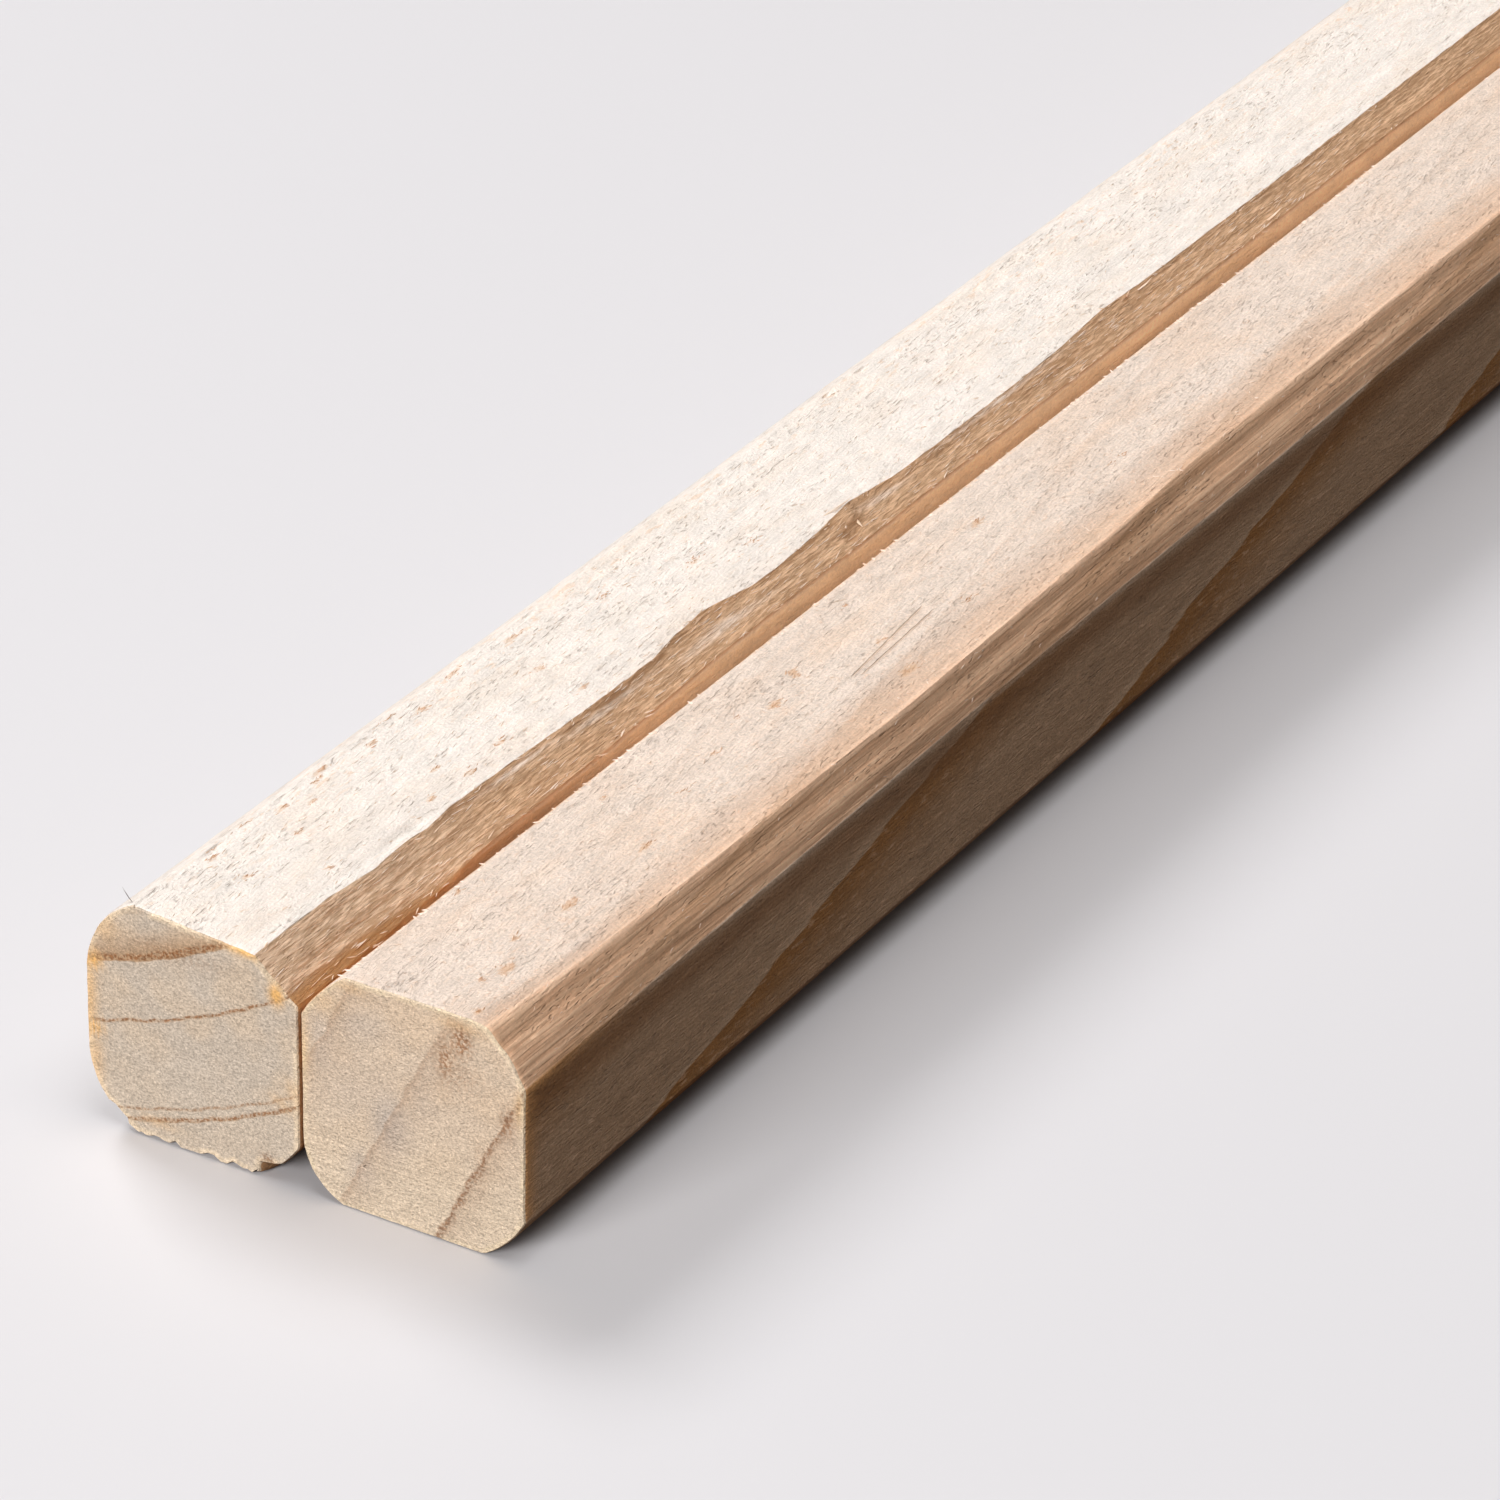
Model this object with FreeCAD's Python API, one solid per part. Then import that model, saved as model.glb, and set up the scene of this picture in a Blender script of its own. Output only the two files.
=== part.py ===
import FreeCAD, Part
import os
from collections import namedtuple

# A pair of disposable wooden chopsticks, two separate sticks lying side by side.
# Units are millimetres. +Y runs from the square thick ends to the tips, +Z is up.
# The origin is on the table, below the middle of the pair's bounding box.

# One long edge of a stick at a distance from its thick end: how far the edge is cut back
# across the stick (run), how far down or up its side (drop), and how far a rounded edge
# stands out from the straight line between those two points (bulge, 0 for a flat cut).
Cut = namedtuple("Cut", "distance run drop bulge")

# Both sticks
stick_length = 210.0        # thick end to tip
straight_length = 115.0     # from the thick end to where the stick begins to narrow
tip_width = 4.0             # across the stick at its tip
tip_height = 4.0
tip_bevel = 0.4             # broken edge round the tip, along the stick and into it
side_gap = 0.06             # between the two sticks, which lie flank to flank

# Left stick. Its top falls towards the groove, and a knife has whittled the edge there:
# deepest at the thick end, then shallower, with a ridge that wanders.
left_width = 5.4
left_height = 5.65          # at its outer edge
left_fall = 0.23            # how much lower its top is at the groove
left_inner_top = [
    Cut(0.0, 1.10, 0.95, 0.0),
    Cut(5.5, 1.00, 0.82, 0.0),
    Cut(7.5, 0.92, 0.58, 0.0),
    Cut(13.0, 0.88, 0.52, 0.0),
    Cut(18.0, 1.08, 0.34, 0.0),
    Cut(20.5, 0.76, 0.30, 0.0),
    Cut(24.5, 1.02, 0.34, 0.0),
    Cut(28.0, 0.78, 0.30, 0.0),
    Cut(37.0, 0.98, 0.34, 0.0),
    Cut(46.0, 0.86, 0.32, 0.0),
]
left_outer_top = [Cut(0.0, 1.27, 1.85, 0.32)]
left_outer_low = [Cut(0.0, 1.30, 1.83, 0.34)]
left_inner_low = [Cut(0.0, 1.00, 1.05, 0.06)]

# Right stick. Its outer top edge is rounded at the thick end and a steep flat further on.
right_width = 5.5
right_height = 5.58
right_inner_top = [Cut(0.0, 1.08, 1.18, 0.16)]
right_outer_top = [
    Cut(0.0, 0.92, 1.27, 0.20),
    Cut(3.0, 0.66, 1.22, 0.16),
    Cut(7.0, 0.50, 1.20, 0.12),
    Cut(16.0, 0.32, 1.15, 0.07),
    Cut(26.0, 0.42, 1.15, 0.10),
    Cut(31.0, 0.60, 1.20, 0.14),
    Cut(45.0, 0.52, 1.20, 0.12),
]
right_outer_low = [Cut(0.0, 1.00, 1.07, 0.10)]
right_inner_low = [Cut(0.0, 1.00, 1.37, 0.26)]

# Places that follow from the sizes
seam_x = (left_width - right_width) / 2
thick_end = -stick_length / 2
left_flank = seam_x - side_gap / 2
right_flank = seam_x + side_gap / 2
closest_sections = 0.2      # sections nearer to each other than this are left out


def cut_at(cuts, distance):
    """The cut at a distance from the thick end, straight between the given ones."""
    if distance <= cuts[0].distance:
        return cuts[0]
    for before, after in zip(cuts, cuts[1:]):
        if distance <= after.distance:
            share = (distance - before.distance) / (after.distance - before.distance)
            return Cut(*(low + (high - low) * share for low, high in zip(before, after)))
    return cuts[-1]


def shrink_at(distance, width, height):
    """How much narrower and lower the stick is at a distance from the thick end."""
    if distance <= straight_length:
        return 1.0, 1.0
    taper_length = stick_length - tip_bevel - straight_length
    share = min((distance - straight_length) / taper_length, 1.0)
    bevel = 2 * tip_bevel if distance >= stick_length else 0.0
    end_width = tip_width - bevel
    end_height = tip_height - bevel
    return 1 + (end_width / width - 1) * share, 1 + (end_height / height - 1) * share


def corner_edge(start, end, bulge, centre):
    """A flat cut, or an arc that stands out from it by bulge, away from the section's centre."""
    if bulge <= 0:
        return Part.LineSegment(start, end).toShape()
    outward = (end - start).cross(FreeCAD.Vector(0, 1, 0)).normalize()
    middle = (start + end) * 0.5
    if outward.dot(middle - centre) < 0:
        outward = outward * -1
    return Part.Arc(start, middle + outward * bulge, end).toShape()


def stick_section(flank, side, width, height, fall, corners, distance):
    """The closed outline of a stick across its length. side is -1 to the left, 1 to the right."""
    inner_top, outer_top, outer_low, inner_low = (cut_at(cuts, distance) for cuts in corners)
    outline = [
        (0, inner_low.drop),
        (0, height - fall - inner_top.drop),
        (inner_top.run, height - fall),
        (width - outer_top.run, height),
        (width, height - outer_top.drop),
        (width, outer_low.drop),
        (width - outer_low.run, 0),
        (inner_low.run, 0),
    ]
    bulges = [0, inner_top.bulge, 0, outer_top.bulge, 0, outer_low.bulge, 0, inner_low.bulge]
    across, up = width / 2, height / 2
    shrink_across, shrink_up = shrink_at(distance, width, height)
    y = thick_end + distance
    centre = FreeCAD.Vector(flank + side * across, y, up)
    points = [
        FreeCAD.Vector(
            centre.x + side * (u - across) * shrink_across,
            y,
            centre.z + (w - up) * shrink_up,
        )
        for u, w in outline
    ]
    following = points[1:] + points[:1]
    edges = [
        corner_edge(start, end, bulge * min(shrink_across, shrink_up), centre)
        for start, end, bulge in zip(points, following, bulges)
    ]
    return Part.Wire(edges)


def stick(flank, side, width, height, fall, corners):
    """One stick, lofted straight from each section to the next."""
    wanted = {cut.distance for cuts in corners for cut in cuts}
    wanted |= {straight_length, stick_length - tip_bevel, stick_length}
    distances = []
    for distance in sorted(wanted):
        if distance > stick_length:
            break
        if not distances or distance - distances[-1] > closest_sections:
            distances.append(distance)
    sections = [stick_section(flank, side, width, height, fall, corners, d) for d in distances]
    return Part.makeLoft(sections, True, True)


def left_chopstick():
    corners = (left_inner_top, left_outer_top, left_outer_low, left_inner_low)
    return stick(left_flank, -1, left_width, left_height, left_fall, corners)


def right_chopstick():
    corners = (right_inner_top, right_outer_top, right_outer_low, right_inner_low)
    return stick(right_flank, 1, right_width, right_height, 0, corners)


def main():
    os.makedirs("parts", exist_ok=True)
    for make in (left_chopstick, right_chopstick):
        shape = make().Solids[0]
        box = shape.BoundBox
        print(make.__name__, "valid", shape.isValid(), "volume", round(shape.Volume, 2),
              "x", round(box.XMin, 3), round(box.XMax, 3), "y", round(box.YMin, 3), round(box.YMax, 3),
              "z", round(box.ZMin, 3), round(box.ZMax, 3))
        shape.exportStep(f"parts/{make.__name__}.step")


main()
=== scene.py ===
import math
import random

import bmesh
import bpy
from mathutils import Matrix, Vector, kdtree, noise


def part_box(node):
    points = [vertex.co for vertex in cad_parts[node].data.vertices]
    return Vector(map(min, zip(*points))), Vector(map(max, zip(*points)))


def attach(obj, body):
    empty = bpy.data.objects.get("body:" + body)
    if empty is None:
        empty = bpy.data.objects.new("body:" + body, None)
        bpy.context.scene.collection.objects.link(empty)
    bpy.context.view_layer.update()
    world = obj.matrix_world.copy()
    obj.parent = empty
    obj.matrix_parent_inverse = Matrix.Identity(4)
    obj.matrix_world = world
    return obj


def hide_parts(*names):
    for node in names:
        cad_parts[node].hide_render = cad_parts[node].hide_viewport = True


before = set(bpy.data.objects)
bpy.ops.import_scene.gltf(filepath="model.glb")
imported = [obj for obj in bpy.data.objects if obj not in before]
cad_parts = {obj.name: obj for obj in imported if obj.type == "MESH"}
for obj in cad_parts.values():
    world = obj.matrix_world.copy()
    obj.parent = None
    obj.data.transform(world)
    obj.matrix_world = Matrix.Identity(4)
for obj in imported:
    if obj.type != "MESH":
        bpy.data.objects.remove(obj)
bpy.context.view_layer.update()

mm = 0.001
print("frame loaded:", sorted(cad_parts))

# Both sticks, in millimetres. A distance is counted from the square thick end.
stickRun = {
    "straight": 115.0,      # where the taper starts
    "tipWidth": 4.0,
    "tipHeight": 4.0,
    "tipBevel": 0.4,
    "endRows": (0.0, 0.03, 0.08, 0.15),
    "rowSteps": ((32.0, 0.12), (52.0, 0.27), (80.0, 0.60), (210.0, 2.5)),   # until where, how far apart
    "endBevel": 0.035,      # how much the thick end's rim is worn back
    "middle": 105.0,        # from the thick end to the row's origin
    "topStarts": (5.15, 5.45),      # the heights between which a side becomes the top
    "sharpFrom": 48.0,      # an edge with a larger angle than this stays sharp, in degrees
}
innerFlank, innerTopCut, topFace, outerTopCut, outerFlank, outerLowCut, underside, innerLowCut = range(8)

# Every cut along a long edge: distance, run across, drop down or up the side, bulge.
# Columns are mesh columns on each stretch of the outline, from the flank at the groove over the top.
leftStick = {
    "node": "left_chopstick",
    "slot": "pale_wood",
    "side": -1,
    "fall": 0.23,
    "innerTop": [
        (0.0, 1.10, 0.95, 0.0), (2.8, 1.10, 0.90, 0.0), (4.3, 0.95, 0.84, 0.0), (5.6, 1.03, 0.80, 0.0),
        (6.4, 0.96, 0.66, 0.0), (7.4, 1.05, 0.58, 0.0), (9.9, 0.99, 0.55, 0.0), (12.4, 0.88, 0.53, 0.0),
        (15.4, 0.85, 0.42, 0.0), (16.6, 1.02, 0.36, 0.0), (17.9, 1.12, 0.34, 0.0), (18.7, 0.99, 0.33, 0.0),
        (19.6, 0.80, 0.31, 0.0), (20.7, 0.76, 0.30, 0.0), (22.8, 0.86, 0.32, 0.0), (24.5, 1.03, 0.34, 0.0),
        (26.4, 0.80, 0.31, 0.0), (28.0, 0.78, 0.30, 0.0), (31.5, 0.77, 0.30, 0.0), (34.2, 0.80, 0.32, 0.0),
        (37.0, 0.98, 0.34, 0.0), (39.5, 0.89, 0.33, 0.0), (46.0, 0.86, 0.32, 0.0),
    ],
    "outerTop": [(0.0, 1.27, 1.85, 0.32)],
    "outerLow": [(0.0, 1.30, 1.83, 0.34)],
    "innerLow": [(0.0, 1.00, 1.05, 0.06)],
    "columns": (14, 28, 44, 24, 12, 20, 24, 12),
    "flecks": [     # x, distance, half width, half length
        (-4.38, 2.9, 0.10, 0.30), (-4.14, 6.9, 0.10, 0.35), (-1.61, 7.4, 0.08, 0.22),
        (-1.53, 8.8, 0.10, 0.26), (-1.70, 10.3, 0.09, 0.26), (-4.28, 9.5, 0.09, 0.40),
        (-2.22, 8.5, 0.07, 0.25), (-3.9, 14.2, 0.09, 0.35), (-2.5, 19.8, 0.10, 0.30),
        (-1.9, 21.4, 0.08, 0.30), (-1.80, 3.7, 0.07, 0.20), (-1.50, 13.4, 0.07, 0.30),
        (-3.97, 6.5, 0.07, 0.30), (-3.53, 5.7, 0.06, 0.18), (-3.90, 5.1, 0.07, 0.25),
        (-3.86, 8.5, 0.08, 0.25), (-3.80, 10.4, 0.08, 0.28), (-3.11, 4.5, 0.05, 0.18),
        (-2.96, 2.4, 0.05, 0.16), (-3.97, 2.6, 0.06, 0.22), (-2.72, 13.5, 0.08, 0.24),
        (-4.25, 4.0, 0.06, 0.26), (-3.30, 17.0, 0.08, 0.35), (-4.1, 12.1, 0.08, 0.35),
    ],
    "pale": [       # light streaks on the whittled face: t, distance, half width, half length
        (0.84, 9.8, 0.05, 1.2), (0.74, 13.2, 0.06, 1.5), (0.46, 17.9, 0.11, 1.5), (0.68, 25.4, 0.08, 0.9),
        (0.90, 31.5, 0.06, 2.6),
    ],
    # waves of the surface: depth, size across and size along in millimetres, seed
    "waves": {
        "all": [(0.010, 0.35, 5.0, 3.1), (0.009, 0.14, 0.6, 8.4)],
        "facet": [(0.055, 0.28, 3.0, 5.7)],
        "splinters": [(0.016, 0.12, 0.90, 1.3), (0.008, 0.08, 0.30, 2.3)],
        "ridge": [(0.020, 0.20, 0.5, 9.3)],
        "top": [(0.012, 0.9, 9.0, 17.5)],
        "groove": [(0.012, 0.3, 1.4, 6.1)],
    },
    "flap": (0.72, 23.9, 0.20, 0.55),       # torn wood that stands up on the whittled face
    "gouge": (0.30, 23.5, 0.16, 0.40),      # and the hollow beside it
    # stains of the thick end, and painted shade in a small hole: x, z, half width, half height, strength
    "orangeStain": [
        (-5.36, 3.98, 0.30, 0.15, 1.3), (-5.36, 2.32, 0.30, 0.12, 1.2), (-5.44, 3.1, 0.26, 1.2, 0.62),
        (-5.32, 1.5, 0.24, 0.7, 0.45), (-0.62, 4.62, 0.17, 0.26, 1.3), (-1.35, 5.42, 0.60, 0.11, 1.0),
        (-0.35, 2.05, 0.38, 0.12, 0.5), (-0.25, 2.44, 0.25, 0.06, 0.35), (-3.7, 0.45, 0.5, 0.12, 0.3),
        (-5.0, 4.9, 0.4, 0.30, 0.40),
    ],
    # the first brown spot is painted shade in a small hole near the low edge
    "brownStain": [(-0.90, 0.42, 0.15, 0.15, 1.4), (-3.2, 4.80, 1.3, 0.22, 0.22)],
    "greyStain": [(-2.4, 1.9, 1.4, 0.8, 0.35), (-2.9, 3.9, 1.0, 0.4, 0.25)],
}
rightStick = {
    "node": "right_chopstick",
    "slot": "warm_wood",
    "side": 1,
    "fall": 0.0,
    "innerTop": [(0.0, 1.08, 1.18, 0.16)],
    "outerTop": [
        (0.0, 0.92, 1.27, 0.20), (3.0, 0.66, 1.22, 0.16), (7.0, 0.50, 1.20, 0.12),
        (16.0, 0.32, 1.15, 0.07), (26.0, 0.42, 1.15, 0.10), (31.0, 0.60, 1.20, 0.14),
        (45.0, 0.52, 1.20, 0.12),
    ],
    "outerLow": [(0.0, 1.00, 1.07, 0.10)],
    "innerLow": [(0.0, 1.00, 1.37, 0.26)],
    "columns": (12, 20, 44, 32, 26, 16, 24, 16),
    "waves": {
        "all": [(0.010, 0.40, 4.0, 23.1), (0.007, 0.13, 0.24, 28.4)],
        "cut": [(0.012, 0.10, 7.0, 25.7)],
        "top": [(0.006, 0.10, 0.14, 38.2)],
        "grooveEdge": [(0.030, 0.4, 0.16, 41.0)],
        "grooveCut": [(0.130, 0.4, 0.16, 41.0)],
        "side": [(0.012, 0.35, 1.2, 47.0)],
    },
    "flecks": [
        (3.41, 5.0, 0.13, 0.36), (2.61, 14.8, 0.14, 0.34), (4.32, 17.8, 0.13, 0.45),
        (2.91, 10.5, 0.09, 0.25), (3.78, 21.6, 0.10, 0.50), (3.70, 2.1, 0.16, 0.30),
        (4.10, 0.35, 0.12, 0.16), (2.22, 13.8, 0.07, 0.25), (3.2, 3.2, 0.07, 0.20),
        (2.1, 24.9, 0.09, 0.35), (3.3, 29.6, 0.07, 0.60), (2.35, 16.2, 0.06, 0.2), (1.6, 9.2, 0.06, 0.15),
        (3.5, 7.9, 0.07, 0.3), (3.47, 1.4, 0.08, 0.16), (1.15, 4.2, 0.05, 0.14), (2.14, 16.3, 0.08, 0.22),
        (2.64, 12.2, 0.07, 0.20), (3.13, 18.6, 0.05, 0.20), (1.59, 19.6, 0.06, 0.18),
    ],
    "orangeStain": [
        (0.55, 4.85, 0.45, 0.30, 0.40), (0.05, 3.6, 0.12, 0.8, 0.75), (3.9, 5.34, 0.5, 0.14, 0.6),
        (5.34, 3.85, 0.12, 0.40, 0.7), (1.15, 5.40, 0.5, 0.12, 0.5),
    ],
    "brownStain": [
        (3.93, 4.98, 0.24, 0.34, 1.05), (3.55, 4.40, 0.20, 0.50, 0.75), (3.85, 4.15, 0.50, 0.45, 0.30),
        (5.05, 3.40, 0.16, 0.32, 0.75), (4.40, 2.05, 0.16, 0.55, 0.30),
    ],
    "greyStain": [
        (2.15, 2.40, 0.50, 0.80, 1.00), (1.45, 1.10, 0.35, 0.5, 0.75), (0.45, 3.95, 0.35, 0.8, 0.7),
        (1.3, 4.6, 0.8, 0.4, 0.6), (2.9, 3.4, 0.4, 0.6, 0.4), (1.2, 3.0, 0.8, 1.0, 0.35),
    ],
}


def cutAt(cuts, distance):
    # run, drop and bulge at a distance, straight between the listed ones
    if distance <= cuts[0][0]:
        return cuts[0][1:]
    for before, after in zip(cuts, cuts[1:]):
        if distance <= after[0]:
            share = (distance - before[0]) / (after[0] - before[0])
            return tuple(a + (b - a) * share for a, b in zip(before[1:], after[1:]))
    return cuts[-1][1:]


def rowDistances(length):
    rows = list(stickRun["endRows"])
    lastRow = length - stickRun["tipBevel"]
    while rows[-1] < lastRow:
        rows.append(rows[-1] + next((step for until, step in stickRun["rowSteps"] if rows[-1] < until)))
    rows[-1] = lastRow
    return rows + [length - stickRun["tipBevel"] / 2, length]


def columnPlaces(stick):
    # which stretch of the outline each column lies on and how far along it, closer near the edges
    places = []
    for stretch, count in enumerate(stick["columns"]):
        for step in range(count):
            even = step / count
            places.append((stretch, 0.45 * even + 0.55 * (1 - math.cos(math.pi * even)) / 2))
    return places


def outlineAt(stick, distance):
    # the eight corners and bulges of the outline, in millimetres from the groove flank and the table
    innerTop, outerTop, outerLow, innerLow = (
        cutAt(stick[key], distance) for key in ("innerTop", "outerTop", "outerLow", "innerLow")
    )
    width, height, length = stick["width"], stick["height"], stick["length"]
    inner = height - stick["fall"]
    corners = [
        (0, innerLow[1]), (0, inner - innerTop[1]),
        (innerTop[0], inner), (width - outerTop[0], height),
        (width, height - outerTop[1]), (width, outerLow[1]),
        (width - outerLow[0], 0), (innerLow[0], 0),
    ]
    bulges = [0, innerTop[2], 0, outerTop[2], 0, outerLow[2], 0, innerLow[2]]
    share = ramp(distance, stickRun["straight"], length - stickRun["tipBevel"])
    bevel = max(distance - (length - stickRun["tipBevel"]), 0) * 2
    across = 1 + ((stickRun["tipWidth"] - bevel) / width - 1) * share
    up = 1 + ((stickRun["tipHeight"] - bevel) / height - 1) * share
    return [
        (width / 2 + (u - width / 2) * across, height / 2 + (w - height / 2) * up) for u, w in corners
    ], bulges, min(across, up)


def ripple(x, y, z, across, along, seed):
    # smooth noise, drawn out along the stick; sizes are in millimetres
    return noise.noise(Vector((x / across + seed, y / along, z / across - seed)))


def spotAt(x, y, centreX, centreY, halfWidth, halfLength):
    # 1 at the centre of a small mark, fading to 0 round it
    return math.exp(-((x - centreX) / halfWidth) ** 2 - ((y - centreY) / halfLength) ** 2)


def hump(t, centre, width):
    # 1 at the centre, fading to 0 on both sides
    return math.exp(-((t - centre) / width) ** 2)


def ramp(value, low, high):
    # 0 up to low, 1 from high on, straight between
    return min(max((value - low) / (high - low), 0), 1)


def waves(stick, name, x, d, z):
    # the sum of the waves that the stick lists under a name, in millimetres
    return sum(
        depth * ripple(x, d, z, across, along, seed) for depth, across, along, seed in stick["waves"][name]
    )


def leftRelief(stretch, t, x, d, z):
    # how far the left stick's surface stands out, in millimetres
    out = waves(leftStick, "all", x, d, z)
    if stretch == innerTopCut:
        # torn wood: a shallow scarp under the ridge, then a flatter facet with short splinters
        scarp = 0.045 * ramp(d, 4.5, 7.5) * (0.9 + 0.9 * ripple(0, d, 0, 1, 5, 4.4))
        out -= scarp * math.sin(math.pi * t ** 1.9)
        out += math.sin(math.pi * t) * waves(leftStick, "facet", x, d, z)
        out += min(4 * t, 1) * waves(leftStick, "splinters", x, d, z)
        out += 0.16 * spotAt(t, d, *leftStick["flap"])
        out -= 0.10 * spotAt(t, d, *leftStick["gouge"])
    if stretch == topFace:
        nearRidge = max(1 - t * 6, 0)
        nicks = 0.012 * min(ripple(0, d, 0, 1, 0.8, 2.9), 0.1)
        pits = 0.12 * max(ripple(x, d, z, 0.22, 0.6, 14.2) - 0.36, 0)
        out += nearRidge * (nicks + waves(leftStick, "ridge", x, d, z)) - pits
        out += waves(leftStick, "top", x, d, z)
        if d < 0.6:
            out -= (1 - d / 0.6) * 0.07 * max(ripple(x, 0, 0, 0.45, 1, 37.1) + 0.25, 0)
    if stretch == innerFlank:
        out = min(out, 0.02) + waves(leftStick, "groove", x, d, z) - 0.012
    if d < 0.4 and z < 0.7:
        # the low edge of the thick end is ragged, with one deeper chip
        nearEnd = 1 - d / 0.4
        out -= nearEnd * 0.22 * max(ripple(x, 0, 0, 0.17, 1, 31.4) + 0.1, 0)
        out -= nearEnd * 0.30 * spotAt(x, z, -0.92, 0.1, 0.12, 0.5)
    return out


def rightRelief(stretch, t, x, d, z):
    out = waves(rightStick, "all", x, d, z)
    if stretch == outerTopCut:
        # a hollow runs along below the rounded edge, then a rib and a flatter stretch down to the side
        sway = 0.05 * ripple(0, d, 0, 1, 7, 21.3)
        later = ramp(d, 4, 10)
        hollowAt, ribAt, creaseAt = 0.27 + sway, 0.50 + 0.16 * later + sway, 0.76 + 0.06 * later - sway
        bulge = cutAt(rightStick["outerTop"], d)[2]
        out -= 0.070 * max(1 - t / 0.3, 0) ** 2 + 0.65 * bulge * 4 * t * (1 - t)
        out -= 0.050 * hump(t, hollowAt, 0.15)
        out += (0.020 + 0.020 * later) * hump(t, ribAt, 0.18)
        out -= 0.010 * hump(t, creaseAt, 0.09)
        out += math.sin(math.pi * t) * waves(rightStick, "cut", x, d, z)
    if stretch == topFace:
        out += 0.02 * math.sin(math.pi * t) - 0.070 * max((t - 0.86) / 0.14, 0) ** 2
        out -= 0.07 * max(ripple(x, d, z, 0.20, 0.35, 34.2) - 0.40, 0)
        out += waves(rightStick, "top", x, d, z)
        if t < 0.04:
            out += waves(rightStick, "grooveEdge", x, d, z)
    if stretch in (innerTopCut, innerFlank):
        out = min(out, 0.01)
        if stretch == innerTopCut:
            out -= 0.08 * math.sin(math.pi * t) ** 0.7
            out += max(t - 0.7, 0) * waves(rightStick, "grooveCut", x, d, z)
    if stretch == outerFlank:
        out += waves(rightStick, "side", x, d, z)
    return out


leftStick["relief"] = leftRelief
rightStick["relief"] = rightRelief


def layPoint(stick, outline, stretch, t, distance):
    # a point of the stick's surface, in metres, and the way it faces
    corners, bulges, shrink = outline
    start, end = Vector(corners[stretch]), Vector(corners[(stretch + 1) % 8])
    along = end - start
    outward = Vector((-along.y, along.x)).normalized()
    u, w = start + along * t
    standOut = bulges[stretch] * shrink * 4 * t * (1 - t)
    standOut += stick["relief"](stretch, t, stick["flank"] / mm + stick["side"] * u, distance, w)
    standOut -= stickRun["endBevel"] * max(1 - distance / stickRun["endRows"][2], 0)
    u, w = Vector((u, w)) + outward * standOut
    x, z = stick["flank"] + stick["side"] * max(u, 0) * mm, stick["table"] + max(w, 0) * mm
    facing = Vector((stick["side"] * outward.x, 0, outward.y))
    return Vector((x, stick["start"] + distance * mm, z)), facing


def selectNothing():
    if bpy.context.object and bpy.context.object.mode != "OBJECT":
        bpy.ops.object.mode_set(mode="OBJECT")
    bpy.ops.object.select_all(action="DESELECT")


def selectEdges(piece, test):
    # selects in edit mode the edges whose two ends pass the test
    work = bmesh.from_edit_mesh(piece.data)
    work.select_mode = {"EDGE"}
    for part in (*work.verts, *work.edges, *work.faces):
        part.select = False
    for edge in work.edges:
        if test(edge.verts[0].co, edge.verts[1].co):
            edge.select_set(True)
    bmesh.update_edit_mesh(piece.data)


def turnStick(stick):
    # a ring of points is drawn out to a tube, cut into rows, laid on the outline and closed
    low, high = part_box(stick["node"])
    stick["width"], stick["height"] = (high.x - low.x) / mm, (high.z - low.z) / mm
    stick["length"] = (high.y - low.y) / mm
    stick["flank"] = high.x if stick["side"] < 0 else low.x
    stick["start"], stick["table"] = low.y, low.z
    rows, places = rowDistances(stick["length"]), columnPlaces(stick)
    middle = (low + high) / 2

    selectNothing()
    bpy.ops.mesh.primitive_circle_add(
        vertices=len(places), radius=(high.x - low.x) / 2, fill_type="NOTHING",
        location=(middle.x, low.y, middle.z), rotation=(math.pi / 2, 0, 0),
    )
    piece = bpy.context.object
    piece.name = piece.data.name = stick["node"] + "_wood"
    bpy.ops.object.transform_apply(location=True, rotation=True, scale=True)
    bpy.ops.object.mode_set(mode="EDIT")
    bpy.ops.mesh.select_all(action="SELECT")
    bpy.ops.mesh.extrude_region_move(TRANSFORM_OT_translate={"value": (0, high.y - low.y, 0)})
    selectEdges(piece, lambda a, b: abs(a.y - b.y) > 0.01)
    bpy.ops.mesh.subdivide_edgering(number_cuts=len(rows) - 2, interpolation="LINEAR")
    bpy.ops.object.mode_set(mode="OBJECT")

    outlines = [outlineAt(stick, d) for d in rows]
    spots = []
    for vertex in piece.data.vertices:
        angle = math.atan2(vertex.co.z - middle.z, vertex.co.x - middle.x)
        column = round(angle / (2 * math.pi) * len(places)) % len(places)
        row = round((vertex.co.y - low.y) / (high.y - low.y) * (len(rows) - 1))
        stretch, t = places[column]
        vertex.co = layPoint(stick, outlines[row], stretch, t, rows[row])[0]
        spots.append((stretch, t, rows[row]))

    bpy.ops.object.mode_set(mode="EDIT")
    for y in (low.y, high.y):
        selectEdges(piece, lambda a, b: abs(a.y - y) < 1e-7 and abs(b.y - y) < 1e-7)
        bpy.ops.mesh.fill_grid(span=len(places) // 4, use_interp_simple=True)
    bpy.ops.mesh.select_all(action="SELECT")
    bpy.ops.mesh.normals_make_consistent(inside=False)
    bpy.ops.object.mode_set(mode="OBJECT")
    bpy.ops.object.shade_smooth_by_angle(angle=math.radians(stickRun["sharpFrom"]))
    markEnd(piece, low, spots)
    markCuts(piece, stick, spots)
    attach(piece, "root")
    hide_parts(stick["node"])
    print(piece.name, len(piece.data.vertices), "points", len(rows), "rows", len(places), "columns")
    return piece


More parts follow.
